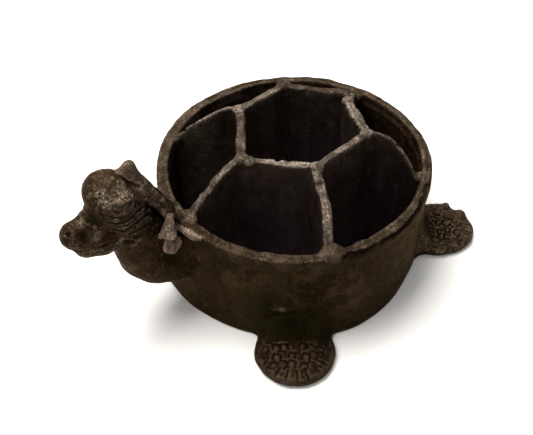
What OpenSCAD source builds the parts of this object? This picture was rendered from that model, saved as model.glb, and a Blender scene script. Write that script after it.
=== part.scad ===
// A turtle-shaped flower holder. The shell is an open ring divided into seven
// stem cells by upright strips, and a head on a neck and four flat feet stand
// out from it. The head points along -Y and the part stands on z = 0.

/* [Shell] */
// Outside diameter of the shell across its rim
shell_d = 110; // [104:1:116]
// Height of the rim's top above the ground
shell_h = 45; // [42:1:48]
// Thickness of the rolled side wall
wall_t = 4; // [3:0.5:4.5]
// How much wider the side wall's radius is at the ground than at the rim
wall_spread = 2.5; // [1:0.5:3]
// Radial width of the rim band
rim_w = 5.25; // [5:0.25:6.5]
// Height of the rim band
rim_h = 5.5; // [4.5:0.5:7]

/* [Cells] */
// Mean distance from the shell's axis to the corners of the middle cell
cell_r = 26.5; // [25:0.5:28]
// Height of the middle cell's walls above the rim
crown_h = 17.5; // [14:0.5:20]
// Thickness of the thickest strips
strip_t = 4.2; // [3.8:0.1:4.6]
// How far a rib's top edge bows up from a straight line
rib_bow = 3.2; // [1:0.2:4]

/* [Head] */
// Distance from the shell's axis to the middle of the skull
head_reach = 77.5; // [76:0.5:80]
// Height of the middle of the skull
head_h = 69.5; // [68:0.5:72]
// Radius of the skull
skull_r = 8.3; // [7.8:0.1:8.6]
// Radius of the pouch at the front of the neck
pouch_r = 13; // [12:0.5:14]
// Width of the strap at the back of the neck
strap_w = 9; // [7:0.5:11]

/* [Feet] */
// Radius of a foot's round pad
pad_r = 15.5; // [14:0.5:17]
// Distance from the shell's axis to the middle of a pad
pad_reach = 64.5; // [62:0.5:66]
// Thickness of a pad
pad_h = 5.5; // [4.5:0.5:7]
// Height of the flange that fixes a foot to the side wall
flange_h = 14; // [11:0.5:17]

/* [Hidden] */
$fn = 96;
// Clearance that cutting shapes run past the faces they cut
past = 1;

shell_r = shell_d / 2;
cell_top = shell_h + crown_h;
wall_h = shell_h - rim_h;
wall_r = shell_r - 0.5;
rim_in = shell_r - rim_w;

// Corners of the middle cell: direction from the axis and distance off cell_r.
// The strips are cut and set by hand, so the cell is not quite regular.
corner_az = [-80.5, -13.5, 46.5, 91.5, 152, 208.5];
corner_off = [-0.4, -1.6, 2.3, 1, -0.2, -2.6];
CORNERS = [for (i = [0:5]) polar(corner_az[i], cell_r + corner_off[i])];
// Direction in which each corner's rib meets the shell
rib_az = [-85, -19.3, 44, 112, 150, 219];
RIM_ENDS = [for (i = [0:5]) polar(rib_az[i], rim_in)];
// Each strip's thickness as a share of the thickest strip's
wall_share = [0.85, 0.78, 1, 0.78, 0.92, 1];
rib_share = [0.82, 1, 0.55, 0.88, 0.76, 0.52];

bead_r = 3.3;
bead_top = cell_top + 0.8;
lump_r = [5.4, 5.6, 4.4, 5, 4.4, 4];
lump_reach = rim_in + 1.5;
lump_drop = 3;

// Directions of the feet. The front right one sits closer to the head than the
// front left one; the rear pair is even.
front_left_az = -35;
front_right_az = -134;
rear_az = 53.5;
tongue_w = 24;

// The bounding box is centred on the origin, so the shell's axis stands back
// from it by half of what the head reaches further than the rear feet.
snout_reach = head_reach + 15;
snout_r = 5.2;
front_reach = snout_reach + snout_r;
rear_reach = pad_reach * sin(rear_az) + pad_r;
axis_y = (front_reach - rear_reach) / 2;
left_reach = pad_reach * cos(front_left_az) + pad_r;
right_reach = pad_r - pad_reach * cos(front_right_az);
axis_x = (right_reach - left_reach) / 2;

wall_colour = [0.23, 0.20, 0.16];
strip_colour = [0.36, 0.33, 0.28];
head_colour = [0.32, 0.30, 0.24];
edge_colour = [0.45, 0.42, 0.36];

function polar(az, r) = [r * cos(az), r * sin(az)];
// A point on or beside the head's upright middle plane: distance out from the
// shell's axis, height, and distance to the turtle's left.
function fore(out, up, left = 0) = [left, -out, up];

// Moves a shape drawn about the shell's axis into the part's frame.
module on_axis() { translate([axis_x, axis_y, 0]) children(); }

// Everything outside the shell's wall, as a cutter for what is joined to it.
module shell_solid() {
    cylinder(h = wall_h, r1 = wall_r + wall_spread, r2 = wall_r);
    translate([0, 0, wall_h]) cylinder(h = rim_h, r = shell_r);
}

// The room inside the shell, which the strips fill.
module shell_room() {
    translate([0, 0, -past])
        cylinder(
            h = wall_h + past,
            r1 = wall_r + wall_spread * (1 + past / wall_h) - wall_t,
            r2 = wall_r - wall_t);
    translate([0, 0, wall_h]) cylinder(h = cell_top, r = rim_in);
}

// An upright strip with a rounded top edge, from p to q.
module strip(p, q, t, h) {
    d = q - p;
    translate(p) rotate([90, 0, 90 + atan2(d.y, d.x)]) linear_extrude(norm(d)) {
        translate([-t / 2, 0]) square([t, h - t / 2]);
        translate([0, h - t / 2]) circle(d = t);
    }
}

// A soft tapering form: balls along a path, each joined to the next. A stop is
// [distance out, height, radius] on the head's upright middle plane.
module chain(stops) {
    for (k = [1:len(stops) - 1]) hull() for (s = [stops[k - 1], stops[k]])
        translate(fore(s.x, s.y)) sphere(s.z, $fn = 28);
}

// ---- Shell ----

module wall_ring() {
    rotate_extrude() polygon([
        [wall_r + wall_spread - wall_t, 0], [wall_r + wall_spread, 0],
        [wall_r, wall_h], [wall_r - wall_t, wall_h]]);
}

// The wall is one strip rolled into a ring; its ends meet in a seam under the neck.
module shell_wall() {
    seam_az = -97;
    seam_w = 1;
    seam_depth = 1.2;
    color(wall_colour) on_axis() difference() {
        wall_ring();
        rotate(seam_az)
            translate([wall_r - seam_depth, -seam_w / 2, -past])
                cube([wall_spread + 2 * seam_depth, seam_w, wall_h + 2 * past]);
    }
}

module band_ring() {
    round_r = 1.8;
    rotate_extrude() {
        translate([rim_in, wall_h]) square([rim_w, rim_h - round_r]);
        translate([rim_in + round_r, wall_h]) square([rim_w - 2 * round_r, rim_h]);
        for (r = [rim_in + round_r, shell_r - round_r])
            translate([r, shell_h - round_r]) circle(round_r);
    }
}

module rim_band() { color(edge_colour) on_axis() band_ring(); }

// ---- Cells ----

// The lump that joins three strips at a corner of the middle cell.
module bead(i) {
    translate(CORNERS[i]) {
        cylinder(h = bead_top - bead_r, r = bead_r);
        translate([0, 0, bead_top - bead_r]) sphere(bead_r);
    }
}

// The lump that joins a rib's outer end to the rim.
module lump(i) {
    translate(concat(polar(rib_az[i], lump_reach), shell_h - lump_drop)) sphere(lump_r[i]);
}

module cell_wall(i) {
    j = (i + 1) % 6;
    color(strip_colour) on_axis() difference() {
        strip(CORNERS[i], CORNERS[j], strip_t * wall_share[i], cell_top);
        bead(i);
        bead(j);
    }
}

// A rib falls from its corner to the rim under a bowed top edge.
module rib(i) {
    p = CORNERS[i];
    d = RIM_ENDS[i] - p;
    run = norm(d);
    thick = strip_t * rib_share[i];
    into_wall = 6;
    steps = 16;
    top_edge = [for (k = [0:steps]) let (u = 1 - k / steps)
        [run * u, cell_top - crown_h * u + 4 * rib_bow * u * (1 - u)]];
    color(strip_colour) on_axis() difference() {
        intersection() {
            translate(p) rotate([90, 0, atan2(d.y, d.x)]) linear_extrude(thick, center = true)
                polygon(concat([[0, 0], [run + into_wall, 0], [run + into_wall, shell_h]], top_edge));
            shell_room();
        }
        bead(i);
        lump(i);
    }
}

module corner_beads() { color(strip_colour) on_axis() for (i = [0:5]) bead(i); }

module rim_lumps() {
    set_back = 0.5;
    color(edge_colour) on_axis() for (i = [0:5]) difference() {
        intersection() {
            lump(i);
            cylinder(h = cell_top, r = shell_r - set_back);
        }
        wall_ring();
        translate([0, 0, wall_h]) difference() {
            cylinder(h = rim_h, r = shell_r);
            translate([0, 0, -past]) cylinder(h = rim_h + 2 * past, r = rim_in);
        }
    }
}

// ---- Neck and head ----

// The neck leaves the wall, sags into a pouch and climbs to the skull. Its path
// is a curve with two control points, and its radius narrows towards the throat.
module neck_shape() {
    root = [head_reach - 25, head_h - 42];
    low = [head_reach - 1.5, head_h - 42.5];
    high = [head_reach - 13, head_h - 24.5];
    throat = [head_reach - 3.5, head_h - 13];
    steps = 8;
    chain([for (k = [0:steps]) let (
        u = k / steps,
        v = 1 - u,
        p = v * v * v * root + 3 * v * v * u * low + 3 * v * u * u * high + u * u * u * throat)
        [p.x, p.y, pouch_r - 0.2 + 1.2 * u * v - 6 * u * u]]);
}

module skull_shape() {
    chain([
        [head_reach + 0.3, head_h, skull_r],
        [head_reach - 1.5, head_h - 5, skull_r + 0.1],
        [head_reach - 4, head_h - 9.5, skull_r + 0.2]]);
}

module muzzle_shape() {
    chain([
        [head_reach + 3, head_h - 7.5, snout_r + 1.8],
        [head_reach + 8, head_h - 11.3, snout_r + 0.3],
        [snout_reach, head_h - 12.4, snout_r]]);
}

module jaw_shape() {
    chain([
        [head_reach + 1.5, head_h - 19.5, 6],
        [head_reach + 6, head_h - 20.1, 5.8],
        [head_reach + 11.7, head_h - 19, 5.3]]);
}

module neck() {
    color(head_colour) on_axis() difference() {
        neck_shape();
        shell_solid();
    }
}

module skull() {
    color(head_colour) on_axis() difference() {
        skull_shape();
        neck_shape();
    }
}

module muzzle() {
    color(head_colour) on_axis() difference() {
        muzzle_shape();
        skull_shape();
        neck_shape();
    }
}

module lower_jaw() {
    color(head_colour) on_axis() difference() {
        jaw_shape();
        muzzle_shape();
        skull_shape();
        neck_shape();
    }
}

// An eyelid mound pressed onto one side of the skull; side is 1 for the left.
module eye(side) {
    color(head_colour) on_axis() difference() {
        translate(fore(head_reach - 2, head_h - 1.2, side * 5.2)) sphere(4.4, $fn = 28);
        skull_shape();
        neck_shape();
        muzzle_shape();
    }
}

// The strap climbs from the rim up the back of the neck, and its end stands up
// behind the skull as a tab. It is bent over the neck like a saddle. Each stop
// is distance out, height, radius of the crest and half of the width.
module strap_shape() {
    half = strap_w / 2;
    edge_r = 1.5;
    stops = [[53, 47, 2.2, half], [57, 51.5, 2.2, half], [61.5, 60, 2, half],
        [66.3, 69.5, 2.6, half - 0.5], [68.3, 77, 2, 1.2]];
    last = len(stops) - 2;
    bands = [for (k = [0 : 2 * last + 2]) let (i = min(floor(k / 2), last), f = k / 2 - i)
        stops[i] * (1 - f) + stops[i + 1] * f];
    for (k = [1 : len(bands) - 1]) hull() for (s = [bands[k - 1], bands[k]]) {
        translate(fore(s[0], s[1])) sphere(s[2], $fn = 20);
        for (left = [-s[3], s[3]])
            translate(fore(s[0] - 0.3 * s[3], s[1] - 0.7 * s[3], left)) sphere(edge_r, $fn = 16);
    }
}

module neck_strap() {
    color(edge_colour) on_axis() difference() {
        strap_shape();
        skull_shape();
        neck_shape();
        shell_solid();
        shell_room();
        lump(0);
    }
}

// A torn end of the rim band, left standing on the neck's left side.
module collar_stub() {
    color(edge_colour) on_axis() difference() {
        hull() {
            translate(fore(57, 46.5, 8)) sphere(2.4, $fn = 24);
            translate(fore(60.5, 39.5, 9.5)) sphere(3.4, $fn = 24);
        }
        neck_shape();
        strap_shape();
        shell_solid();
        lump(0);
    }
}

// ---- Feet ----

module pad() {
    round_r = 2;
    rotate_extrude() {
        square([pad_r - round_r, pad_h]);
        square([pad_r, pad_h - round_r]);
        translate([pad_r - round_r, pad_h - round_r]) circle(round_r);
    }
}

// A foot is a slab with a round end. Its inner end turns up against the side wall.
module foot(az) {
    flange_half = 11;
    inside = wall_r - wall_t;
    color(wall_colour) on_axis() rotate(az) difference() {
        union() {
            translate([pad_reach, 0, 0]) pad();
            translate([inside, -tongue_w / 2, 0]) cube([pad_reach - inside, tongue_w, pad_h]);
            rotate(-flange_half) rotate_extrude(angle = 2 * flange_half) polygon([
                [inside, 0], [inside, flange_h], [wall_r + 2.8, flange_h],
                [wall_r + 3.8, flange_h * 0.7], [wall_r + 8, pad_h], [wall_r + 8, 0]]);
        }
        shell_solid();
    }
}

shell_wall();
rim_band();
cell_wall(0);  // cell_wall_1
cell_wall(1);  // cell_wall_2
cell_wall(2);  // cell_wall_3
cell_wall(3);  // cell_wall_4
cell_wall(4);  // cell_wall_5
cell_wall(5);  // cell_wall_6
rib(0);  // rib_1
rib(1);  // rib_2
rib(2);  // rib_3
rib(3);  // rib_4
rib(4);  // rib_5
rib(5);  // rib_6
corner_beads();
rim_lumps();
neck();
skull();
muzzle();
lower_jaw();
eye(1);  // eye_left
eye(-1);  // eye_right
neck_strap();
collar_stub();
foot(front_left_az);  // foot_front_left
foot(front_right_az);  // foot_front_right
foot(rear_az);  // foot_rear_left
foot(180 - rear_az);  // foot_rear_right
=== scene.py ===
"""A hand-built, dark-patinated turtle flower frog, shaped and finished around its CAD frame.

Every piece is a signed distance field in millimetres about the shell's axis: smooth unions model
the way the strips, lumps and head were pressed together, and noise gives them a handmade surface.
A field becomes a mesh by surface nets, and masks for wear, soot, patina, painted highlights and
painted shade are measured on it.
"""

import math
from functools import partial

import bpy
import numpy as np
from mathutils import Matrix, Vector


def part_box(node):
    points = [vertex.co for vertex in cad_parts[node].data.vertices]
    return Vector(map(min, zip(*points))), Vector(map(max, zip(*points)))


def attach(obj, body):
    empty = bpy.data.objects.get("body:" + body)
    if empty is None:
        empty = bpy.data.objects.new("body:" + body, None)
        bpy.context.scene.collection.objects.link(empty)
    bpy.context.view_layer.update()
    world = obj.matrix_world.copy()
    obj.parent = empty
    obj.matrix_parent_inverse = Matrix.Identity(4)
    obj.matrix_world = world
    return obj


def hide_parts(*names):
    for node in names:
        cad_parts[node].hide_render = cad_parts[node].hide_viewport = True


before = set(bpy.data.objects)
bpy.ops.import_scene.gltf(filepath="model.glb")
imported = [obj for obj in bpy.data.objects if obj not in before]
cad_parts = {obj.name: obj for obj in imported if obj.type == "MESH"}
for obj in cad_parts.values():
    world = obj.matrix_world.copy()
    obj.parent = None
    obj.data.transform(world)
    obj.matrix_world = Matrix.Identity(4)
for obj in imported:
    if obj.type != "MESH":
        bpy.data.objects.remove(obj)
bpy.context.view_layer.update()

MM = 0.001
FINE = 0.42  # mesh pitch of the head and feet, mm
COARSE = 0.62  # mesh pitch of the shell and its strips, mm

# ---- the frame, in millimetres


def box_mm(node):
    lo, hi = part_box(node)
    return np.array(lo) / MM, np.array(hi) / MM


rim_lo, rim_hi = box_mm("rim_band")
AXIS = np.array([(rim_lo[0] + rim_hi[0]) / 2, (rim_lo[1] + rim_hi[1]) / 2, 0.0])
SHELL_R = (rim_hi[0] - rim_lo[0]) / 2
SHELL_H = rim_hi[2]
WALL_H = rim_lo[2]
CELL_TOP = max(box_mm(f"cell_wall_{i}")[1][2] for i in range(1, 7))
RIM_W = 5.25  # width of the rim band
WALL_T = 4.0  # thickness of the side wall
WALL_R = SHELL_R - 0.5  # outer radius of the side wall just below the rim
STRIP_T = 4.2  # thickness of the thickest strip


def islands(count, edges):
    """Labels every vertex with the lowest vertex number of its connected group."""
    group = np.arange(count)
    while True:
        before = group.copy()
        low = np.minimum(group[edges[:, 0]], group[edges[:, 1]])
        np.minimum.at(group, edges[:, 0], low)
        np.minimum.at(group, edges[:, 1], low)
        np.minimum.at(group, before[edges[:, 0]], low)
        np.minimum.at(group, before[edges[:, 1]], low)
        group = group[group]
        if (group == before).all():
            return group


def middles(node):
    """The middle of each of a node's separate solids, in plan about the shell's axis.

    They go round anticlockwise, starting 30 degrees to the right of the head.
    """
    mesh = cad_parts[node].data
    co = np.array([v.co for v in mesh.vertices]) / MM
    _, same = np.unique(np.round(co, 3), axis=0, return_inverse=True)
    same = same.reshape(-1)
    edges = same[np.array([e.vertices for e in mesh.edges])]
    label = islands(same.max() + 1, edges)[same]
    spots = []
    for g in np.unique(label):
        part = co[label == g] - AXIS
        spots.append(((part.min(0) + part.max(0)) / 2)[:2])
    return sorted(spots, key=lambda c: (math.degrees(math.atan2(c[1], c[0])) + 120) % 360)


# Corners of the middle cell, each with the end of its rib at the rim. Corner 0 is the one whose
# rib points at the head, and the others follow as the CAD nodes are numbered.
CORNERS = middles("corner_beads")
RIM_ENDS = [c / np.linalg.norm(c) * (SHELL_R - RIM_W) for c in middles("rim_lumps")]

# ---- noise and distance fields

PRIMES = (374761393, 668265263, 1440662683, 97471)  # one for each of X, Y, Z and the seed
MIXER = 1274126177
WORD = 0xFFFFFFFF  # keeps the lowest 32 bits


def scatter(ix, iy, iz, seed):
    """A repeatable value from -1 to 1 for each grid point, with no pattern to it."""
    n = (ix * PRIMES[0] + iy * PRIMES[1] + iz * PRIMES[2] + seed * PRIMES[3]) & WORD
    n = ((n ^ (n >> 13)) * MIXER) & WORD
    return ((n ^ (n >> 16)) & 0xFFFF) / 32767.5 - 1.0


def noise(p, size, seed):
    """Smooth value noise from -1 to 1, with features about size mm across."""
    q = p / size
    i = np.floor(q).astype(np.int64)
    f = q - i
    u = f * f * (3 - 2 * f)
    total = 0.0
    for dx in (0, 1):
        wx = u[:, 0] if dx else 1 - u[:, 0]
        for dy in (0, 1):
            wy = u[:, 1] if dy else 1 - u[:, 1]
            for dz in (0, 1):
                wz = u[:, 2] if dz else 1 - u[:, 2]
                at_corner = scatter(i[:, 0] + dx, i[:, 1] + dy, i[:, 2] + dz, seed)
                total = total + wx * wy * wz * at_corner
    return total


def rough(p, size, seed, octaves=3):
    """Layers of noise, each finer and fainter."""
    return sum(noise(p, size / 2**k, seed + 17 * k) * 0.55**k for k in range(octaves))


def smin(a, b, k):
    """Union of two fields with a fillet of about k mm."""
    h = np.clip(0.5 + 0.5 * (b - a) / k, 0, 1)
    return b * (1 - h) + a * h - k * h * (1 - h)


def smax(a, b, k):
    """Intersection of two fields with a rounded edge of about k mm."""
    return -smin(-a, -b, k)


def step(lo, hi, x):
    """Goes smoothly from 0 at lo to 1 at hi; lo may be the larger one."""
    t = np.clip((x - lo) / (hi - lo), 0, 1)
    return t * t * (3 - 2 * t)


def ball(p, c, r):
    """A ball, or with r = 0 the distance to the point c."""
    return np.linalg.norm(p - np.asarray(c, float), axis=1) - r


def egg(p, c, radii):
    """An ellipsoid with its axes along X, Y and Z."""
    radii = np.asarray(radii, float)
    q = (p - np.asarray(c, float)) / radii
    k = np.linalg.norm(q, axis=1)
    g = np.linalg.norm(q / radii, axis=1)
    return k * (k - 1) / np.maximum(g, 1e-6)


def rod(p, a, b, ra, rb):
    """A round rod from a to b whose radius goes from ra to rb."""
    a, b = np.asarray(a, float), np.asarray(b, float)
    d = b - a
    t = np.clip((p - a) @ d / (d @ d), 0, 1)
    return np.linalg.norm(p - a - t[:, None] * d, axis=1) - (ra + (rb - ra) * t)


def path(p, points, radii):
    """Rods through points, each with its own radius."""
    f = rod(p, points[0], points[1], radii[0], radii[1])
    for k in range(1, len(points) - 1):
        f = np.minimum(f, rod(p, points[k], points[k + 1], radii[k], radii[k + 1]))
    return f


def dent(d, width, depth):
    """Added to a field: presses it in by depth along a line at distance d."""
    return depth * np.exp(-((d / width) ** 2))


def groove(f, p, points, width, depth):
    """Presses a line of the given width and depth into the field f."""
    line = path(p, points, [width / 2] * len(points))
    return smax(f, -np.maximum(line, -depth), width * 0.5)


# ---- meshes from fields

OFFSETS = [(x, y, z) for x in (0, 1) for y in (0, 1) for z in (0, 1)]
BLOCK = 4  # grid cells along each side of the blocks that are looked at first
CHUNK = 200_000  # points worked out at a time


def evaluate(field, points):
    """The field at many points, a chunk at a time to save memory."""
    parts = np.array_split(points, len(points) // CHUNK + 1)
    return np.concatenate([field(part) for part in parts])


def sample(field, lo, n, pitch):
    """The field on a grid, worked out exactly only in blocks that the surface may cross."""
    m = -(-(n - 1) // BLOCK)
    size = BLOCK * pitch
    ticks = [lo[k] + size * (np.arange(m[k]) + 0.5) for k in range(3)]
    blocks = np.stack(np.meshgrid(*ticks, indexing="ij"), -1).reshape(-1, 3)
    level = evaluate(field, blocks).reshape(m)
    live = np.abs(level) < size * 0.9 + 0.5
    after = [np.minimum(np.arange(n[k]) // BLOCK, m[k] - 1) for k in range(3)]
    before = [np.maximum(np.arange(n[k]) - 1, 0) // BLOCK for k in range(3)]
    v = level[np.ix_(*after)]
    exact = np.zeros(n, bool)
    for o in OFFSETS:
        exact |= live[np.ix_(*[(after, before)[o[k]][k] for k in range(3)])]
    v[exact] = evaluate(field, lo + pitch * np.argwhere(exact))
    return v


def corner_of_cells(grid, o):
    """The grid's values at one corner, at offset o, of every cell."""
    nx, ny, nz = (k - 1 for k in grid.shape)
    return grid[o[0] : nx + o[0], o[1] : ny + o[1], o[2] : nz + o[2]]


def surface(field, lo, hi, pitch):
    """Surface nets: one vertex in each cell that the surface crosses, then two steps onto it."""
    lo = np.asarray(lo, float) - 2 * pitch
    n = np.ceil((np.asarray(hi, float) + 2 * pitch - lo) / pitch).astype(int) + 1
    v = sample(field, lo, n, pitch)
    inside = v < 0
    count = sum(corner_of_cells(inside, o).astype(int) for o in OFFSETS)
    live = (count > 0) & (count < 8)
    where = np.argwhere(live)
    index = np.full(live.shape, -1)
    index[live] = np.arange(len(where))
    total = np.zeros((len(where), 3))
    hits = np.zeros(len(where))
    for a in OFFSETS:
        for k in range(3):
            if a[k]:
                continue
            b = tuple(a[j] + (j == k) for j in range(3))
            va, vb = corner_of_cells(v, a)[live], corner_of_cells(v, b)[live]
            crossed = (va < 0) != (vb < 0)
            t = va / np.where(crossed, va - vb, 1)
            point = np.array(a, float) + np.eye(3)[k] * t[:, None]
            total[crossed] += point[crossed]
            hits[crossed] += 1
    verts = lo + pitch * (where + total / hits[:, None])
    quads = np.concatenate([faces_along(k, inside, index) for k in range(3)])
    for _ in range(2):
        g, f = slope(field, verts, pitch * 0.5)
        verts = verts - g * np.clip(f, -pitch, pitch)[:, None]
    return largest_island(verts, quads)


def faces_along(k, inside, index):
    """A face across each grid edge along axis k that passes through the surface."""
    n = inside.shape
    i, j = (k + 1) % 3, (k + 2) % 3
    va, vb = np.delete(inside, -1, k), np.delete(inside, 0, k)
    edge = np.argwhere(va != vb)
    edge = edge[(edge[:, i] > 0) & (edge[:, i] < n[i] - 1)]
    edge = edge[(edge[:, j] > 0) & (edge[:, j] < n[j] - 1)]
    corner = []
    for di, dj in ((-1, -1), (0, -1), (0, 0), (-1, 0)):
        c = edge.copy()
        c[:, i] += di
        c[:, j] += dj
        corner.append(index[tuple(c.T)])
    quad = np.stack(corner, 1)
    outward = va[tuple(edge.T)]
    return np.where(outward[:, None], quad, quad[:, ::-1])


def largest_island(verts, quads):
    """Drops every loose speck that isn't connected to the main mesh."""
    sides = np.concatenate([quads[:, (0, 1)], quads[:, (1, 2)], quads[:, (2, 3)]])
    label = islands(len(verts), sides)
    keep = label == np.bincount(label).argmax()
    renumber = np.cumsum(keep) - 1
    return verts[keep], renumber[quads[keep[quads[:, 0]]]]


TETRA = np.array([(1, -1, -1), (-1, -1, 1), (-1, 1, -1), (1, 1, 1)], float)


def slope(field, p, h):
    """The field's unit direction of increase and its value, from four points around each."""
    g = np.zeros((len(p), 3))
    f = np.zeros(len(p))
    for d in TETRA:
        v = field(p + d * h)
        g += v[:, None] * d
        f += v / len(TETRA)
    return g / np.maximum(np.linalg.norm(g, axis=1), 1e-9)[:, None], f


def convexity(field, p, h):
    """Mean curvature in 1/mm at the scale h: above 0 on ridges, below 0 in creases."""
    around = sum(field(p + np.eye(3)[k] * s * h) for k in range(3) for s in (1, -1))
    return (around - 6 * field(p)) / (h * h)


MATERIALS = {}
# The first channel holds wear and also the painted highlights and painted light of some pieces; the
# second holds soot in creases and also painted shade, darker low down in deep places.
MASKS = ("wear", "soot_and_shade", "green", "pale")  # kept in this order in the channels of "marks"


def add_object(name, data):
    obj = bpy.data.objects.new(name, data)
    bpy.context.scene.collection.objects.link(obj)
    return obj


def piece(name, node, slot, field, lo, hi, pitch, masks):
    """Makes one piece of the model from a field, gives it its material, hangs it under the root body
    and hides the CAD part that it stands in for.

    masks works out the piece's masks from its points, their normals, and how worn and how
    creased the form is there.
    """
    verts, quads = surface(field, lo, hi, pitch)
    normals, _ = slope(field, verts, 0.3)
    bend = convexity(field, verts, 0.9)
    wear = step(0.12, 0.55, bend) * 0.9
    crease = step(0.08, 0.6, -bend)
    tone = masks(verts, normals, wear, crease)
    none = np.zeros(len(verts))
    colour = np.stack([np.clip(tone.get(mask, none), 0, 1) for mask in MASKS], 1)
    mesh = bpy.data.meshes.new(name)
    mesh.from_pydata(((verts + AXIS) * MM).tolist(), [], quads.tolist())
    mesh.update()
    mesh.polygons.foreach_set("use_smooth", [True] * len(mesh.polygons))
    marks = mesh.attributes.new("marks", "FLOAT_COLOR", "POINT")
    marks.data.foreach_set("color", colour.astype(np.float32).ravel())
    mesh.materials.append(MATERIALS[slot])
    obj = add_object(name, mesh)
    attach(obj, "root")
    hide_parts(node)


# ---- finishes


def new_material(name):
    """A material with one shader, as the material, its node tree and the shader."""
    mat = bpy.data.materials.new(name)
    mat.use_nodes = True
    tree = mat.node_tree
    tree.nodes.clear()
    out = tree.nodes.new("ShaderNodeOutputMaterial")
    shader = tree.nodes.new("ShaderNodeBsdfPrincipled")
    link(tree, shader.outputs[0], out.inputs[0])
    return mat, tree, shader


def link(tree, value, socket):
    """Sets a shader socket to a number or a colour, or connects it to another node."""
    if isinstance(value, tuple):
        socket.default_value = (*value, 1.0)
    elif isinstance(value, (int, float)):
        socket.default_value = value
    else:
        tree.links.new(value, socket)


def object_place(tree):
    return tree.nodes.new("ShaderNodeTexCoord").outputs["Object"]


def add_node(tree, kind, sockets, **settings):
    """A new shader node with its settings, and its sockets set or connected."""
    node = tree.nodes.new(kind)
    for key, value in settings.items():
        setattr(node, key, value)
    for key, value in sockets.items():
        link(tree, value, node.inputs[key])
    return node


def texture(tree, place, scale, detail=4.0):
    """A noise texture over the object's own coordinates; scale is per metre."""
    sockets = {"Vector": place, "Scale": scale, "Detail": detail, "Roughness": 0.6}
    return add_node(tree, "ShaderNodeTexNoise", sockets).outputs["Fac"]


def ramp(tree, value, lo, hi, out_lo=0.0, out_hi=1.0):
    """Maps lo..hi of a value smoothly to out_lo..out_hi."""
    sockets = {"Value": value, "From Min": lo, "From Max": hi, "To Min": out_lo, "To Max": out_hi}
    node = add_node(tree, "ShaderNodeMapRange", sockets, interpolation_type="SMOOTHSTEP")
    return node.outputs["Result"]


def times(tree, a, b, op="MULTIPLY"):
    """The product of two values, or with op "ADD" their sum, kept from 0 to 1."""
    node = add_node(tree, "ShaderNodeMath", {0: a, 1: b}, operation=op, use_clamp=True)
    return node.outputs["Value"]


def mix(tree, fac, a, b):
    """Colour a where fac is 0, b where it is 1."""
    return add_node(tree, "ShaderNodeMix", {0: fac, 6: a, 7: b}, data_type="RGBA").outputs[2]


def bump(tree, height, shader, strength, distance):
    """Raises a shader's surface in appearance by a height; distance is in metres."""
    sockets = {"Height": height, "Strength": strength, "Distance": distance}
    link(tree, add_node(tree, "ShaderNodeBump", sockets).outputs[0], shader.inputs["Normal"])


def shade(colour, k):
    """A colour made k times as bright, or with its channels scaled one by one."""
    k = k if isinstance(k, tuple) else (k, k, k)
    return tuple(min(1.0, c * j) for c, j in zip(colour, k))


MOSS = (0.0050, 0.0044, 0.0009)
PALE = (0.21, 0.145, 0.11)
# The colour of soot in creases, also used as painted shade low down in deep places.
SOOT_AND_SHADE = (0.0020, 0.0010, 0.0008)
ASHY = (2.5, 2.4, 3.3)  # how the ashy blotches differ from the warm brown, by channel
RUDDY = (1.15, 0.72, 0.85)
LUSTRE = (1.0, 0.70, 0.42)


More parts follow.
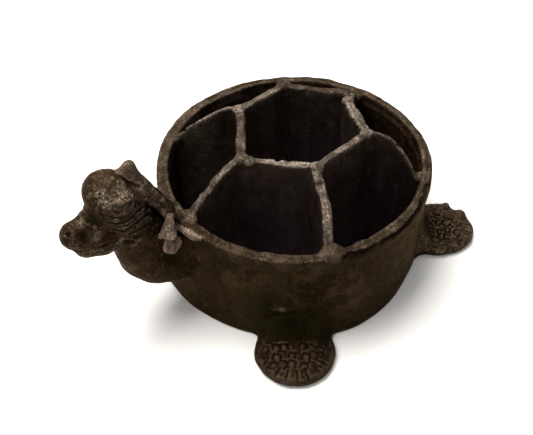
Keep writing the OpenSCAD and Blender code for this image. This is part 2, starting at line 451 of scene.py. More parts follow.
def patina(slot, dark, warm, edge, soot_and_shade_tone=SOOT_AND_SHADE, relief=0.8, even=0.15):
    """Cast metal under a brown-black patina: mottled, pitted, worn pale where it is touched.

    dark and warm are the two browns and edge is where it is worn; the fourth colour is the soot in
    creases and also the painted shade low down in deep places.
    relief is the strength of the fine bumps. With even at 0 the wear shows only in specks, and
    with even at 1 it covers its whole area.
    """
    mat, tree, shader = new_material(slot)
    place = object_place(tree)
    upright = tree.nodes.new("ShaderNodeMapping")
    upright.inputs["Scale"].default_value = (1.0, 1.0, 0.2)
    link(tree, place, upright.inputs["Vector"])
    marks = tree.nodes.new("ShaderNodeAttribute")
    marks.attribute_name = "marks"
    split = tree.nodes.new("ShaderNodeSeparateColor")
    link(tree, marks.outputs["Color"], split.inputs[0])
    # The first channel is wear with painted highlights, the second soot with painted shade.
    wear, soot_and_shade, moss = split.outputs[0], split.outputs[1], split.outputs[2]
    torn = marks.outputs["Alpha"]

    clouds = texture(tree, place, 48, 5)
    blooms = texture(tree, place, 88, 7)
    mottle = texture(tree, place, 230, 6)
    grain = texture(tree, place, 1150, 4)
    runs = texture(tree, upright.outputs["Vector"], 300, 5)
    cells = add_node(tree, "ShaderNodeTexVoronoi", {"Vector": place, "Scale": 560})
    pits = ramp(tree, cells.outputs["Distance"], 0.10, 0.34)

    # The browns, with blotches, mottling, grain and runs over them.
    colour = mix(tree, ramp(tree, clouds, 0.40, 0.62), dark, warm)
    layers = (
        (blooms, 0.51, 0.64, 0.8, ASHY), (blooms, 0.47, 0.36, 0.6, RUDDY),
        (mottle, 0.50, 0.70, 0.7, 2.6), (grain, 0.55, 0.70, 0.6, 3.4), (runs, 0.50, 0.70, 0.28, 3.0),
    )
    for pattern, lo, hi, share, k in layers:
        colour = mix(tree, ramp(tree, pattern, lo, hi, 0, share), colour, shade(warm, k))
    colour = mix(tree, times(tree, moss, ramp(tree, mottle, 0.22, 0.5)), colour, MOSS)
    # Soot in the creases and painted shade low down in deep places.
    deep = mix(tree, ramp(tree, runs, 0.42, 0.75), soot_and_shade_tone, shade(soot_and_shade_tone, 2.0))
    colour = mix(tree, times(tree, soot_and_shade, 0.93), colour, deep)

    # The worn edges and painted highlights, the bright specks in them, the torn places and the pits.
    worn = times(tree, wear, ramp(tree, mottle, 0.38, 0.60, even, 1.0))
    worn = times(tree, worn, ramp(tree, grain, 0.38, 0.60, even, 1.0))
    colour = mix(tree, worn, colour, edge)
    specks = times(tree, ramp(tree, mottle, 0.50, 0.66), ramp(tree, grain, 0.52, 0.68))
    colour = mix(tree, times(tree, wear, specks), colour, shade(edge, 2.1))
    colour = mix(tree, times(tree, torn, ramp(tree, mottle, 0.2, 0.5, 0.6, 1.0)), colour, PALE)
    dots = times(tree, ramp(tree, pits, 0, 1, 0.8, 0), ramp(tree, mottle, 0.36, 0.58))
    colour = mix(tree, dots, colour, shade(dark, 0.5))
    link(tree, colour, shader.inputs["Base Color"])

    link(tree, ramp(tree, mottle, 0.3, 0.7, 0.44, 0.68), shader.inputs["Roughness"])
    link(tree, 0.3, shader.inputs["Metallic"])
    link(tree, 0.03, shader.inputs["Specular IOR Level"])
    link(tree, LUSTRE, shader.inputs["Specular Tint"])
    height = times(tree, times(tree, mottle, 0.55), times(tree, grain, 0.30), "ADD")
    height = times(tree, height, times(tree, pits, 0.2), "ADD")
    bump(tree, height, shader, relief, 0.0009)
    MATERIALS[slot] = mat


patina("shell_metal", (0.0048, 0.0026, 0.0007), (0.0115, 0.0073, 0.0030), (0.11, 0.085, 0.055),
       soot_and_shade_tone=(0.0110, 0.0070, 0.0068), relief=0.5)
# The strips' fourth colour is a purple-dark painted shade for deep in the cells.
patina("strip_metal", (0.0095, 0.0060, 0.0036), (0.0185, 0.0125, 0.0076), (0.27, 0.225, 0.19),
       soot_and_shade_tone=(0.0132, 0.0080, 0.0132), even=0.45)
patina("rim_metal", (0.0076, 0.0046, 0.0021), (0.0172, 0.0115, 0.0064), (0.088, 0.068, 0.050),
       relief=1.0, even=0.35)
patina("head_metal", (0.0042, 0.0022, 0.0006), (0.0105, 0.0062, 0.0027), (0.25, 0.195, 0.14))
patina("torn_metal", (0.016, 0.010, 0.006), (0.042, 0.028, 0.019), (0.30, 0.235, 0.18),
       relief=1.0, even=0.4)
patina("foot_metal", (0.0030, 0.0016, 0.0005), (0.0065, 0.0038, 0.0016), (0.080, 0.056, 0.035),
       relief=0.9, even=0.35)

# ---- the shell


def polar(p):
    """Distance from the shell's axis and direction in degrees."""
    return np.hypot(p[:, 0], p[:, 1]), np.degrees(np.arctan2(p[:, 1], p[:, 0]))


def apart(az, at):
    """Degrees from one direction to another, from -180 to 180."""
    return (az - at + 180) % 360 - 180


def near(az, at, spread):
    """1 in one direction, fading to 0 on either side of it."""
    return np.exp(-((apart(az, at) / spread) ** 2))


def on_shell(az, r, z):
    """The point at a direction in degrees, a distance from the axis and a height."""
    a = math.radians(az)
    return np.array([r * math.cos(a), r * math.sin(a), z])


def along_shell(directions, heights, r):
    return [on_shell(az, r, z) for az, z in zip(directions, heights)]


def press(az):
    """How far the ring, which isn't quite round, stands out behind and on both sides."""
    return 0.9 * near(az, 203, 26) + 0.9 * near(az, 130, 42) + 0.9 * near(az, 60, 30)


def within(planes, r):
    """A solid inside several faces, given as distances past them, its edges rounded by r."""
    out = [d + r for d in planes]
    outside = np.sqrt(sum(np.maximum(o, 0) ** 2 for o in out))
    return outside + np.minimum(np.maximum.reduce(out), 0) - r


SEAM_AZ = -97  # direction of the side wall's seam, degrees
UNDER = 0.22  # where a piece is blended over its neighbour, it dips this far under it, mm


def wall_outer(p):
    """Outer radius of the side wall: flared at the ground, most of all under the neck."""
    _, az = polar(p)
    flare = 1.6 + 1.3 * np.cos(np.radians(az + 95)) + 1.6 * near(az, -90, 18)
    flare = flare + 1.4 * near(az, -12, 20) - 0.8 * near(az, 30, 20) + 0.4 * near(az, 45, 17)
    low = np.clip(1 - p[:, 2] / WALL_H, 0, 1.1)
    # The strip's end laps over its start at the seam.
    past_seam = apart(az, SEAM_AZ)
    lap = 0.6 * step(-0.4, 0.4, past_seam) * np.exp(-np.maximum(past_seam, 0) / 7)
    return WALL_R + press(az) * (1 - 0.7 * low) + flare * low**1.15 + lap


def wall_field(p):
    r, _ = polar(p)
    outer = wall_outer(p) + 0.30 * rough(p, 24, 3, 2) + 0.10 * rough(p, 5, 5, 3)
    inner = wall_outer(p) - WALL_T + 0.25 * rough(p, 16, 9, 2)
    f = within([r - outer, inner - r, -p[:, 2], p[:, 2] - WALL_H - 1], 0.7)
    seam = [on_shell(SEAM_AZ, WALL_R + 2.4 * (1 - z / WALL_H) + 2.6, z) for z in (-2, 12, 26, 41)]
    f = groove(f, p, seam, 0.8, 3.0)
    # A nick with scratches above and below it, over the front left foot, and a rub mark.
    nick = along_shell((-41.6, -40.6, -39.2, -36.6), (19.4, 17.8, 16.9, 17.3), WALL_R + 1.75)
    f = smin(f, path(p, nick, [0.4, 0.5, 0.5, 0.3]), 0.4)
    f = groove(f, p, along_shell((-40, -34), (15.0, 15.5), WALL_R + 2.0), 0.7, 0.8)
    f = groove(f, p, along_shell((-41, -36), (19.4, 20.0), WALL_R + 1.8), 0.6, 0.6)
    rub = along_shell((-26, -19, -12), (24.5, 21.5, 20.5), WALL_R + 1.9)
    return groove(f, p, rub, 0.5, 0.45)


def wall_masks(p, n, wear, crease):
    r, az = polar(p)
    z = p[:, 2]
    facing_in = step(-0.2, 0.2, -(n[:, 0] * p[:, 0] + n[:, 1] * p[:, 1]) / np.maximum(r, 1))
    leg = near(az, -37, 13) * step(3, 8, z) * step(22, 13, z)
    upper = near(az, -46, 9) * step(12, 20, z) * step(34, 26, z) * 0.7
    flank = near(az, 12, 16) * step(40, 30, z) * 0.45
    below_neck = near(az, -84, 10) * step(2, 8, z) * 0.3
    nick = np.exp(-(((apart(az, -39.5) / 2.6) ** 2) + ((z - 17.6) / 1.1) ** 2))
    return {
        "wear": np.maximum(wear * 0.5, nick * 0.8),
        # Painted shade: the wall's inner face is darker towards the bottom; creases hold soot.
        "soot_and_shade": np.maximum(crease, facing_in * step(36, 18, z) * 0.8),
        "green": 1.3 * leg + upper + flank + below_neck,
    }


def crack(p, width):
    """1 on the jagged crack under the rim's outer edge on the turtle's left, 0 away from it."""
    r, az = polar(p)
    z = SHELL_H - 1.7 + 0.5 * noise(p, 4.0, 611) + 0.25 * noise(p, 1.7, 612)
    along = step(-24, -14, az) * step(50, 38, az) * step(-0.9, -0.2, noise(p, 6.0, 613))
    outside = step(SHELL_R - 1.6, SHELL_R - 0.8, r)
    return np.exp(-(((p[:, 2] - z) / width) ** 2)) * along * outside


def rim_field(p):
    r, az = polar(p)
    swell = 0.28 * rough(p, 11, 21, 3) + 0.15 * rough(p, 2.6, 25, 2)
    half = RIM_W / 2 - 0.35
    half = half + 0.40 * near(az, 215, 45) - 0.25 * near(az, 75, 60) + 0.2 * near(az, -70, 25)
    mid = SHELL_R + 0.25 - half + press(az)
    z = p[:, 2]
    top = SHELL_H - 0.25 + 0.45 * noise(p, 17, 23) - 0.10 * (r - mid)
    f = within([np.abs(r - mid) - half - 0.6 * swell, z - top - swell, WALL_H + 0.1 - z], 1.35)
    # The band runs softly into the wall, and ends under the wall's skin.
    dip = UNDER + 0.6 * step(WALL_H + 0.5, WALL_H - 2.2, z)
    f = smax(smin(f, wall_field(p) + dip, 3.0), WALL_H - 2.5 - z, 0.5)
    return f + crack(p, 0.5) * 1.3


def streaks(along, across, width, seed):
    """Scratches of about the given width that run lengthwise, from 0 to 1."""
    lines = noise(np.stack([along / 5, across / width, 0 * along], 1), 1, seed)
    return step(-0.35, 0.35, lines)


def rim_masks(p, n, wear, crease):
    top = step(0.45, 0.85, n[:, 2]) * step(SHELL_H - 2.6, SHELL_H - 1.0, p[:, 2])
    r, az = polar(p)
    lines = streaks(np.radians(az) * r, r, 0.8, 29)
    bare = (0.6 + 0.4 * noise(p, 7, 27)) * (0.25 + 0.75 * lines)
    worn = 0.95 + 0.6 * near(az, 205, 35) - 0.55 * near(az, -60, 45)
    return {
        "wear": np.maximum(wear * top, top * bare) * worn,
        "soot_and_shade": np.maximum(crease, 1.6 * crack(p, 0.75)),
        "green": near(az, -25, 40) * (1 - top) * 0.5,
    }


piece("shell_wall_cast", "shell_wall", "shell_metal", wall_field,
      (-62, -62, 0), (60, 60, WALL_H + 1), COARSE * 1.15, wall_masks)
piece("rim_band_cast", "rim_band", "rim_metal", rim_field,
      (-57, -57, WALL_H - 3), (57, 57, SHELL_H + 1.5), COARSE * 0.85, rim_masks)

# ---- the strips of the cells

CROWN = CELL_TOP - SHELL_H  # how far the middle cell stands above the rim
WALL_SHARE = (0.85, 0.78, 1.0, 0.78, 0.92, 1.0)  # each strip's thickness against STRIP_T
RIB_SHARE = (0.82, 1.0, 0.55, 0.88, 0.76, 0.52)
SAG = (0.3, -0.3, 0.4, 0.6, -0.2, 0.4)  # how far each cell wall's edge sags midway, mm
START = (0, 0, 0, 0.2, 0, 0)  # how far along its corner's rib each cell wall starts
BOW = (3.4, 2.6, 5.0, 1.2, 1.5, 3.4)  # how far each rib's edge bows up midway, mm
SIDEWAYS = (-0.6, 0.0, 1.4, 0.0, 0.0, -0.4)  # how far each rib bows to its left in plan, mm
RIB_WAVE = (0.3, 0.35, 0.25, 0.2, 0.2, 0.95)  # how far each rib waves sideways, mm
# Size of each rib's lump on the rim, and how softly it runs into the rim, mm.
LUMPS = ((6.4, 4.5), (6.8, 4.5), (4.3, 2.6), (6.2, 3.5), (4.6, 2.5), (4.6, 3.0))
# How brightly the tops of the cell walls, ribs and corner lumps are worn.
WALL_WORN = (1.0, 0.65, 0.9, 0.25, 0.6, 0.32)
RIB_WORN = (0.6, 0.65, 0.45, 0.6, 0.7, 0.7)
BEAD_WORN = (0.4, 0.75, 0.75, 0.45, 0.12, 0.75)
NOTCHED_WALL = 2  # toothed like a saw along one side
CUT_RIB = 1  # scored across near its corner
PADDED_CORNER = 0  # has a second lump on the wall beside it
WIDE_CORNER = 4  # its lump is wider and flatter


def strip_frame(p, a, b):
    """Distance along, share of the way, distance across and length of a strip from a to b."""
    d = b - a
    run = np.linalg.norm(d)
    d = d / run
    q = p[:, :2] - a
    return q @ d, (q @ d) / run, q[:, 1] * d[0] - q[:, 0] * d[1], run


def lip(p, top, t, seed):
    """Half thickness of a strip: uneven, and pinched or smeared near its top edge."""
    high = step(top - 6, top - 1.5, p[:, 2])
    return t / 2 - 0.15 + high * 0.34 * rough(p, 5, seed, 3) + 0.10 * noise(p, 12, seed + 3)


def chips(p, top, seed):
    """Small broken bites out of a strip's top edge."""
    return 0.9 * step(0.42, 0.8, noise(p, 3.1, seed)) * step(top - 2.5, top - 0.5, p[:, 2])


def midway(u):
    """0 at a strip's ends and 1 halfway along it."""
    return 4 * u * (1 - u)


def cell_wall_field(p, i):
    z = p[:, 2]
    seed = 40 + 7 * i
    start = CORNERS[i] + START[i] * (RIM_ENDS[i] - CORNERS[i])
    s, u, across, run = strip_frame(p, start, CORNERS[(i + 1) % 6])
    across = across + 0.55 * noise(p, 15, seed)
    top = CELL_TOP - 0.6 - SAG[i] * midway(u) + 0.40 * rough(p * [1, 1, 0.2], 8, seed + 1, 3)
    half = lip(p, top, STRIP_T * WALL_SHARE[i], seed)
    if i == NOTCHED_WALL:
        teeth = np.maximum(np.sin(s * 3.4 + 0.8 * np.sin(s)), -0.2) * (across > 0)
        half = half - 0.8 * teeth * step(0.62, 0.45, u) * step(top - 6, top - 1, z)
    f = within([np.abs(across) - half, z - top, -z, -s - 0.5, s - run - 0.5], 0.85)
    grit = 0.10 * rough(p, 1.9, seed + 2, 2) * step(CELL_TOP - 9, CELL_TOP - 2, z)
    return f + grit + chips(p, top, seed)


def rib_top(i, u):
    """Height of a rib's edge at a share u of the way from its corner to the rim."""
    u = np.clip(u, 0, 1.1)
    return CELL_TOP - 0.5 - (CROWN - 0.3) * u + BOW[i] * midway(u)


def rib_field(p, i):
    z = p[:, 2]
    seed = 90 + 7 * i
    s, u, across, _ = strip_frame(p, CORNERS[i], RIM_ENDS[i])
    across = across + 0.5 * noise(p, 13, seed)
    across = across + RIB_WAVE[i] * np.sin(7.5 * u + 0.6) * step(20, 50, z)
    across = across - SIDEWAYS[i] * midway(np.clip(u, 0, 1))
    top = rib_top(i, u) + 0.45 * rough(p * [1, 1, 0.2], 7, seed + 1, 3)
    half = lip(p, top, STRIP_T * RIB_SHARE[i], seed)
    in_wall = polar(p)[0] - WALL_R + 2.2
    f = within([np.abs(across) - half, (z - top) * 0.82, -z, -s - 0.5, in_wall], 0.85)
    if i == CUT_RIB:
        f = f + dent(np.abs(s - 4.2 - 0.15 * across), 0.5, 0.6) * step(top - 5, top - 2, z)
    grit = 0.10 * rough(p, 1.9, seed + 2, 2) * step(top - 9, top - 2, z)
    return f + grit + chips(p, top, seed)


def strip_masks(p, n, wear, crease, top, a, b, worn):
    """Masks of a strip from a to b in plan, whose edge is at the height top."""
    z = p[:, 2]
    s, _, across, _ = strip_frame(p, a, b)
    edge = step(top - 2.4, top - 1.4, z) * step(0.15, 0.5, n[:, 2])
    bare = (0.85 + 0.15 * noise(p, 5, 31)) * (0.25 + 0.75 * streaks(s, across, 0.75, 37)) * worn
    r, az = polar(p)
    left_cell = near(az, 215, 42)
    # Painted light, carried in the wear channel: the strips of the left cell, the strips near the
    # middle and the strips' tops are made lighter.
    painted_light = 0.10 * left_cell * step(30, 36, r) + 0.035 * step(30, 26, r)
    painted_light = painted_light + step(top - 4, top - 1, z) * 0.05
    # Painted shade: darker the deeper below the strip's top edge, much less so in the left cell.
    deep = 0.32 * step(top - 2, top - 8, z) + 0.63 * step(top - 16, top - 36, z)
    return {
        "wear": np.maximum(np.maximum(wear * 0.6 * worn * edge, edge * bare), painted_light),
        "soot_and_shade": np.maximum(crease * 0.8, deep * (1 - 0.9 * left_cell)),
        "green": 0.45 * step(top - 34, top - 8, z) * (1 - edge),
    }


def cell_wall_masks(p, n, wear, crease, i):
    ends = CORNERS[i], CORNERS[(i + 1) % 6]
    return strip_masks(p, n, wear, crease, CELL_TOP - 0.5, *ends, WALL_WORN[i])


def rib_masks(p, n, wear, crease, i):
    ends = CORNERS[i], RIM_ENDS[i]
    top = rib_top(i, strip_frame(p, *ends)[1])
    return strip_masks(p, n, wear, crease, top, *ends, RIB_WORN[i])


def bead_field(p, i):
    """The metal pressed into a corner where three strips meet."""
    c = CORNERS[i]
    seed = 140 + 5 * i
    f = smin(cell_wall_field(p, i) + UNDER, cell_wall_field(p, (i + 5) % 6) + UNDER, 2.6)
    f = smin(f, rib_field(p, i) + UNDER, 2.6)
    f = smin(f, egg(p, (*c, CELL_TOP - 2.9), (2.5, 2.5, 2.4)), 1.2)
    size = 5.6 + 0.8 * noise(p, 6, seed)
    if i == PADDED_CORNER:
        d = (CORNERS[i + 1] - c) / np.linalg.norm(CORNERS[i + 1] - c)
        pad = c + 2.8 * d + 0.7 * np.array([d[1], -d[0]])
        f = smin(f, egg(p, (*pad, CELL_TOP - 2.7), (2.7, 2.7, 2.1)), 0.9)
        size = size + 1.6
    if i == WIDE_CORNER:
        f = smin(f, egg(p, (*(c * 1.03), CELL_TOP - 1.8), (3.1, 3.1, 2.0)), 0.8)
    limit = np.hypot(p[:, 0] - c[0], p[:, 1] - c[1]) - size
    return smax(f + 0.12 * rough(p, 2.6, seed + 1, 2), limit, 1.0)


def bead_masks(p, n, wear, crease, i):
    z = p[:, 2]
    edge = step(CELL_TOP - 2.4, CELL_TOP - 1.4, z) * step(0.2, 0.6, n[:, 2])
    bare = 0.5 + 0.5 * noise(p, 4, 33)
    # Painted shade: darker further below the top of the cell walls.
    return {"wear": np.maximum(wear, bare) * edge * BEAD_WORN[i],
            "soot_and_shade": np.maximum(crease * 0.6, step(CELL_TOP - 4, CELL_TOP - 9, z) * 0.6)}


def lump_field(p, i):
    """The metal smeared over the rim where a rib runs into it."""
    end = RIM_ENDS[i]
    mid = end * (SHELL_R - RIM_W / 2 - 0.6) / (SHELL_R - RIM_W)
    size, soft = LUMPS[i]
    seed = 180 + 5 * i
    f = smin(rib_field(p, i) + UNDER, rim_field(p) + UNDER, soft)
    half = size * 0.62
    f = smin(f, egg(p, (*mid, SHELL_H - 2.2), (half, half, 2.1 + 0.12 * (size - 4))), 1.8)
    limit = ball(p, (*(end * 0.985), SHELL_H - 1), size) - noise(p, 5, seed)
    return smax(f + 0.20 * rough(p, 3, seed + 1, 3), limit, 1.0)


def lump_masks(p, n, wear, crease):
    z = p[:, 2]
    high = step(SHELL_H - 2.4, SHELL_H - 0.8, z) * step(0.1, 0.6, n[:, 2])
    bare = 0.6 + 0.4 * noise(p, 4, 35)
    # Painted shade: darker further below the rim's top.
    return {"wear": np.maximum(wear * high, high * bare),
            "soot_and_shade": np.maximum(crease * 0.6, step(SHELL_H - 3, SHELL_H - 7, z) * 0.7)}


def plan_box(points, margin, z0, z1):
    """The corners of a box round points in plan, from height z0 to z1."""
    xy = np.array(points)
    lo, hi = xy.min(0) - margin, xy.max(0) + margin
    return np.array([*lo, z0]), np.array([*hi, z1])


for i in range(6):
    c, e = CORNERS[i], RIM_ENDS[i]
    wall_box = plan_box((c, CORNERS[(i + 1) % 6]), 4, 0, CELL_TOP + 1)
    rib_box = plan_box((c, e * (WALL_R / (SHELL_R - RIM_W))), 4, 0, CELL_TOP + 1)
    piece(f"cell_wall_{i + 1}_cast", f"cell_wall_{i + 1}", "strip_metal",
          partial(cell_wall_field, i=i), *wall_box, COARSE, partial(cell_wall_masks, i=i))
    piece(f"rib_{i + 1}_cast", f"rib_{i + 1}", "strip_metal",
          partial(rib_field, i=i), *rib_box, COARSE, partial(rib_masks, i=i))
for i in range(6):
    bead_box = plan_box([CORNERS[i]], 8, 0, CELL_TOP + 1.5)
    lump_box = plan_box([RIM_ENDS[i]], 10, SHELL_H - 10, SHELL_H + 5)
    piece(f"bead_{i + 1}_cast", "corner_beads", "strip_metal",
          partial(bead_field, i=i), *bead_box, COARSE, partial(bead_masks, i=i))
    piece(f"lump_{i + 1}_cast", "rim_lumps", "rim_metal",
          partial(lump_field, i=i), *lump_box, COARSE * 0.85, lump_masks)

# ---- head and neck


def at(out, z, left=0.0):
    """A point by its distance from the axis towards the snout, its height and its left offset."""
    return np.array([left, -out, z])


def reach(node):
    """A node's box about the axis: how far out it goes, its highest and its lowest point."""
    lo, hi = box_mm(node)
    return AXIS[1] - lo[1], hi[2], lo[2]


def chain(p, spots, k):
    """Balls (out, z, radius) joined by rods, and the joints softened by k."""
    f = None
    for (o0, z0, r0), (o1, z1, r1) in zip(spots, spots[1:]):
        part = rod(p, at(o0, z0), at(o1, z1), r0, r1)
        f = part if f is None else smin(f, part, k)
    return f


def trace(p, points):
    """Distance to a line through (out, z) points, measured in the head's side view."""
    flat = np.stack([-p[:, 1], p[:, 2], 0 * p[:, 0]], 1)
    return path(flat, [(*q, 0) for q in points], [0.0] * len(points))


def side(p, inner, outer):
    """0 on the head's middle plane, 1 on either flank."""
    return step(inner, outer, np.abs(p[:, 0]))


SKULL_R = 8.3
skull_out, skull_top, _ = reach("skull")
BROW = (skull_out - SKULL_R, skull_top - SKULL_R)
SNOUT_R = 5.2
snout_out, _, snout_low = reach("muzzle")
TIP = (snout_out - SNOUT_R, snout_low + SNOUT_R)
JAW_R = 5.3
jaw_out, _, jaw_low = reach("lower_jaw")
CHIN = (jaw_out - JAW_R, jaw_low + 6.9)
EYE_AT = (BROW[0] - 2.3, BROW[1] - 1.2)
EYE_SIDE = 5.2  # from the head's middle plane to the middle of an eyelid mound
EYE_R = 4.4


def from_brow(out, z):
    return BROW[0] + out, BROW[1] + z


def neck_core(p):
    """The neck: balls along a smooth curve from the wall up to the skull."""
    pulls = ((WALL_R - 2.0, 27.5), from_brow(-1.8, -42.5), from_brow(-13.3, -24.5),
             from_brow(-3.8, -13.0))
    spots = []
    for k in range(9):
        u = k / 8
        v = 1 - u
        share = (v**3, 3 * u * v * v, 3 * u * u * v, u**3)
        out, z = (sum(w * q[j] for w, q in zip(share, pulls)) for j in (0, 1))
        spots.append((out, z, 12.8 + 1.2 * u * v - 6.0 * u * u))
    return chain(p, spots, 0.6)


def skull_core(p):
    spots = [(*BROW, SKULL_R), (*from_brow(-1.8, -5), 8.4), (*from_brow(-4.3, -9.5), 8.5)]
    return chain(p, spots, 2.0)


def muzzle_core(p):
    spots = [(*from_brow(2.7, -7.5), 7.0), (TIP[0] - 7.0, TIP[1] + 1.1, 5.5), (*TIP, SNOUT_R)]
    return chain(p, spots, 1.5)


def jaw_core(p):
    x, z = CHIN
    return chain(p, [(x - 10.2, z - 0.5, 6.0), (x - 5.7, z - 1.1, 5.8), (x, z, JAW_R)], 1.5)


def eye_core(p, side_sign):
    return ball(p, at(*EYE_AT, side_sign * EYE_SIDE), EYE_R)


# Creases of the cheek, in (out, z) points, each with its half width and depth.
CREASES = (
    (((84.7, 60.4), (82.4, 57.8), (77.1, 55.4), (73.5, 57.6), (69.9, 58.2), (66.5, 57.0)), 0.6, 0.9),
    (((81.7, 63.4), (79.1, 61.6), (75.5, 61.0), (71.6, 62.6), (67.0, 61.8)), 0.5, 0.75),
    (((80.5, 66.0), (77.3, 64.2), (73.5, 64.6), (69.5, 66.5)), 0.45, 0.6),
    (((79.0, 59.6), (75.5, 58.9), (72.0, 60.4)), 0.4, 0.4),
    (((75.2, 53.5), (71.0, 54.6), (67.5, 54.0)), 0.6, 0.45),
)
MOUTH = ((96.5, 55.2), (93.0, 52.4), (89.5, 52.0), (85.7, 51.6), (81.5, 51.5), (77.0, 51.2))
JAW_LINE = ((96.6, 54.0), (92.0, 51.4), (88.0, 50.0), (84.0, 49.0), (79.0, 49.4))
SNOUT_CREASE = ((88.2, 65.0), (86.8, 63.0), (84.4, 62.6))
THROAT_CREASE = ((80.0, 48.6), (77.5, 49.6), (75.0, 49.4))


def wrinkles(p):
    """Creases pressed into both flanks of the head, deepest below the eye."""
    deep = sum(dent(trace(p, line), width, depth) for line, width, depth in CREASES)
    out, up = -p[:, 1] - EYE_AT[0], p[:, 2] - EYE_AT[1]
    fold = np.abs(np.hypot(out, up) - 7.4 - 0.8 * noise(p, 5, 309))
    deep += dent(fold, 0.5, 0.26) * step(1.0, 4.5, out + 0.5 * up) * step(-4.0, -1.0, up)
    for k, low in enumerate((2.2, 3.5, 4.9)):
        wave = up + low - 0.10 * out**2 * (0.5 + 0.2 * k) - 0.5 * noise(p, 4, 310 + k)
        deep += dent(wave, 0.36, 0.40) * step(5.5, 3.0, np.abs(out + 1.5))
    return side(p, 1.5, 4.5) * deep


def lids(p):
    """Small uneven folds of skin over the eyes."""
    out, z = -p[:, 1] - EYE_AT[0], p[:, 2] - EYE_AT[1] - 1.0
    curl = np.sin(2.6 * z - 0.8 * out + 2.2 * noise(p, 4.0, 308) + 1.5 * noise(p, 2.0, 306))
    close = np.exp(-((np.hypot(out, z) / 4.2) ** 2))
    return side(p, 3, 6) * close * 0.36 * curl


def head_core(p):
    """The whole head without its neck, as one soft form."""
    f = smin(skull_core(p), smin(muzzle_core(p), jaw_core(p) + 0.25, 3.6) + UNDER, 2.4)
    for sign in (1, -1):
        f = smin(f, eye_core(p, sign), 3.0)
    return f


def skull_field(p):
    f = head_core(p) + wrinkles(p) + lids(p)
    f = f + 0.18 * rough(p, 9, 301, 3) + 0.09 * rough(p, 1.9, 305, 2)
    return smax(f, ball(p, at(*from_brow(-1.5, -4.5)), 13.0), 1.0)


def muzzle_field(p):
    f = smin(muzzle_core(p), jaw_core(p) + 0.25, 3.6)
    f = f + dent(trace(p, MOUTH), 0.4, 0.55) + dent(trace(p, SNOUT_CREASE), 0.7, 0.6)
    for sign in (1, -1):
        f = f + dent(ball(p, at(TIP[0] - 1.8, TIP[1] + 3.2, sign * 4.4), 0), 2.0, 0.9)
        f = f + dent(ball(p, at(TIP[0] + 2.4, TIP[1] + 3.9, sign * 2.2), 0), 0.9, 0.8)
        f = smin(f, ball(p, at(TIP[0] - 6.5, TIP[1] + 1.0, sign * 3.0), 3.4), 1.6)
    return f + 0.16 * rough(p, 6, 311, 3) + 0.08 * rough(p, 1.7, 315, 2)


def jaw_field(p):
    f = jaw_core(p) + dent(trace(p, JAW_LINE), 0.5, 0.4)
    return f + 0.18 * rough(p, 6, 321, 3) + 0.08 * rough(p, 1.7, 325, 2)


def eye_field(p, sign):
    f = smin(eye_core(p, sign) - 0.12, skull_core(p) + 0.3, 2.4)
    f = f + lids(p) + 0.14 * rough(p, 4, 331 + sign, 3) + 0.08 * rough(p, 1.5, 335, 2)
    return smax(f, ball(p, at(*EYE_AT, sign * (EYE_SIDE + 1.2)), 5.0), 0.8)


def neck_field(p):
    r, _ = polar(p)
    f = smin(neck_core(p), skull_core(p) + UNDER, 4.0)
    f = smin(f, jaw_core(p) + 0.5, 2.6)
    f = smin(f, wall_field(p) + UNDER, 3.0)
    f = f + 0.25 * rough(p, 14, 341, 3) + 0.07 * rough(p, 2, 345, 2)
    f = f + wrinkles(p) * step(50, 56, p[:, 2])
    f = f + dent(trace(p, THROAT_CREASE), 0.7, 0.8) * side(p, 1, 4)
    near_neck = smin(ball(p, at(64, 30), 19.5), ball(p, at(72, 52), 14.5), 4)
    return smax(smax(f, WALL_R - 2.2 - r, 0.4), near_neck, 1.5)


# Painted highlights, the spots where the light falls brightest on the head and neck, and patches of
# olive: each a middle, a size in mm and a strength.
LIT = [
    (at(76.9, 72, 8), 4.4, 1.1), (at(76.9, 72, -8), 4.4, 1.0), (at(79, 75, 5.5), 3.4, 0.7),
    (at(72, 71, 7), 3.8, 0.7), (at(78.5, 50.5, 6.5), 1.8, 0.6), (at(89.5, 63, 1.5), 2.0, 0.35),
    (at(86.4, 58.5, 5.3), 2.2, 0.4), (at(53.5, 24, 9), 3, 0.5),
]
OLIVE = [
    (at(87, 64, 2.0), 3.0, 0.8), (at(67, 60, 5), 6, 0.9), (at(65, 37, 11), 5, 0.8),
    (at(70, 24, 8), 8, 0.4),
]


def glow(p, spots):
    """Soft round spots, added up."""
    return sum(k * np.exp(-((ball(p, c, 0) / size) ** 2)) for c, size, k in spots)


def head_masks(p, n, wear, crease):
    # Painted highlights, carried in the wear channel; the creases are painted less dark under them.
    lit = glow(p, LIT) * (0.80 + 0.45 * wear - 0.15 * crease)
    soot_and_shade = crease * (0.9 - 0.55 * np.clip(lit, 0, 1))
    return {"wear": np.maximum(wear * 0.35, lit), "soot_and_shade": soot_and_shade, "green": glow(p, OLIVE)}


LEFT_EYE = at(*EYE_AT, EYE_SIDE)
RIGHT_EYE = at(*EYE_AT, -EYE_SIDE)
for node, field, lo, hi, pitch in (
    ("skull", skull_field, (-12, -93, 50), (12, -62, 79), FINE),
    ("muzzle", muzzle_field, (-9, -99, 48), (9, -74, 71), FINE),
    ("lower_jaw", jaw_field, (-8, -96, 42), (8, -72, 57), FINE),
    ("eye_left", partial(eye_field, sign=1), LEFT_EYE - 7, LEFT_EYE + 7, FINE),
    ("eye_right", partial(eye_field, sign=-1), RIGHT_EYE - 7, RIGHT_EYE + 7, FINE),
    ("neck", neck_field, (-20, -90, 10), (20, -50, 68), COARSE * 0.9),
):
    piece(f"{node}_cast", node, "head_metal", field, lo, hi, pitch, head_masks)

# ---- the collar

# Lines in (out, z) points: the strap, and the torn slot between its end and the skull.
STRAP_LINE = ((53.0, 47.0), (57.0, 51.5), (61.5, 60.0), (66.3, 69.5), (68.0, 76.6))
SLOT_LINE = ((72.8, 75.6), (70.5, 72.6), (67.1, 69.9))
STRAP_W = 9.0
PATCH = at(60.2, 40.6, 9.5)  # middle of the rough break under the torn stub


